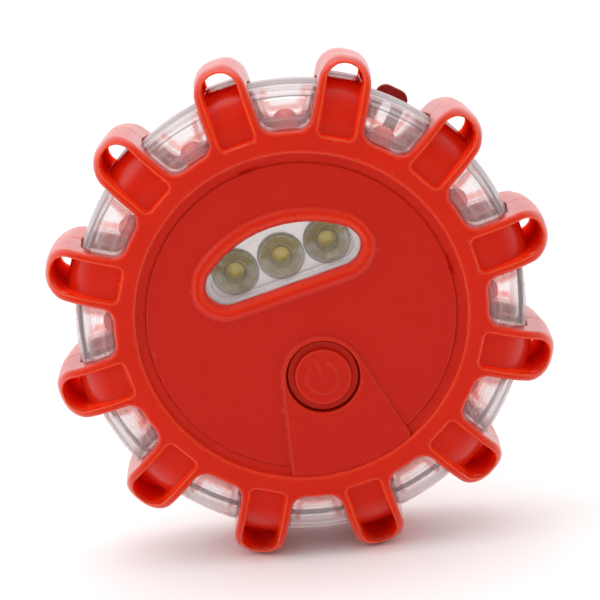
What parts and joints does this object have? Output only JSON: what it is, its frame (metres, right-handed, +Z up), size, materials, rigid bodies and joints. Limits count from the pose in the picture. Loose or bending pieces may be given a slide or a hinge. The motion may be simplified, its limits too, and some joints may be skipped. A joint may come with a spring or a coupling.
{
  "type": "led safety flare",
  "caption": "Round battery-powered road safety flare: a clear disc with red side lamps and a white spotlight inside a lobed rubber bumper, with a power button, rear magnet and fold-out hook.",
  "frame": {"origin": "on the floor under the middle of the disc, which stands on two of its lobes", "axes": "+Z up, front face with the window and button towards -Y, magnet and battery door towards +Y, +X to the right seen from the front"},
  "size_m": [0.101, 0.0304, 0.1011],
  "materials": {
    "rubber_red": "smooth semi-gloss thermoplastic rubber, orange-red",
    "clear_shell": "clear moulded polycarbonate, faint pink from the red pieces behind it",
    "seal_rubber": "pale soft silicone rubber",
    "board": "white solder mask on glass-fibre board",
    "red_led": "red diffused epoxy lens, unlit",
    "phosphor": "yellow phosphor emitter",
    "lens": "clear moulded acrylic lens",
    "holder_white": "white moulded plastic",
    "button_rubber": "smooth semi-gloss rubber, a little darker than the bumper",
    "black_plastic": "black moulded plastic",
    "plunger_white": "white moulded plastic",
    "plain_steel": "nickel plated steel",
    "cell_can": null,
    "red_plastic": "red moulded ABS",
    "magnet": "nickel plated neodymium magnet"
  },
  "bodies": {
    "housing": {"front_bumper": "rubber_red", "rear_bumper": "rubber_red", "front_shell": "clear_shell", "rear_shell": "clear_shell", "seam_gasket": "seal_rubber", "circuit_board": "board", "red_led_1": "red_led", "red_led_2": "red_led", "red_led_3": "red_led", "red_led_4": "red_led", "red_led_5": "red_led", "red_led_6": "red_led", "red_led_7": "red_led", "red_led_8": "red_led", "red_led_9": "red_led", "red_led_10": "red_led", "red_led_11": "red_led", "red_led_12": "red_led", "white_led_1": "phosphor", "white_led_2": "phosphor", "white_led_3": "phosphor", "spot_lens_1": "lens", "spot_lens_2": "lens", "spot_lens_3": "lens", "lens_holder": "holder_white", "switch_body": "black_plastic", "controller_chip": "black_plastic", "battery_tray": "black_plastic", "capacitor": "plain_steel", "contact_spring_1": "plain_steel", "contact_spring_2": "plain_steel", "contact_spring_3": "plain_steel", "contact_plate_1": "plain_steel", "contact_plate_2": "plain_steel", "contact_plate_3": "plain_steel", "contact_plate_4": "plain_steel", "case_screw_1": "plain_steel", "case_screw_2": "plain_steel", "case_screw_3": "plain_steel", "case_screw_4": "plain_steel", "cell_1": "cell_can", "cell_2": "cell_can", "cell_3": "cell_can"},
    "power_button": {"power_button": "button_rubber"},
    "switch_plunger": {"switch_plunger": "plunger_white"},
    "battery_door": {"battery_door": "red_plastic", "door_seal": "seal_rubber", "magnet": "magnet"},
    "door_screw": {"door_screw": "plain_steel"},
    "hook": {"hook": "red_plastic"}
  },
  "joints": [
    {"name": "button_press", "type": "slide", "parent": "housing", "child": "power_button", "axis": [0, 1, 0], "range_m": [0, 0.0008], "stiffness_N_per_m": 2500},
    {"name": "plunger_press", "type": "slide", "parent": "housing", "child": "switch_plunger", "axis": [0, 1, 0], "range_m": [0, 0.0008]},
    {"name": "door_lift_off", "type": "slide", "parent": "housing", "child": "battery_door", "axis": [0, 1, 0], "range_m": [0, 0.04]},
    {"name": "door_screw_turn", "type": "hinge", "parent": "battery_door", "child": "door_screw", "pos_m": [0.00647, 0.014, 0.02639], "axis": [0, 1, 0], "continuous": true},
    {"name": "hook_fold", "type": "hinge", "parent": "battery_door", "child": "hook", "pos_m": [0.00825, 0.01425, 0.06483], "axis": [-0.866, 0, 0.5], "range_deg": [0, 120]}
  ],
  "couplings": [
    {"joint": "plunger_press", "follows": "button_press", "ratio": 1}
  ]
}
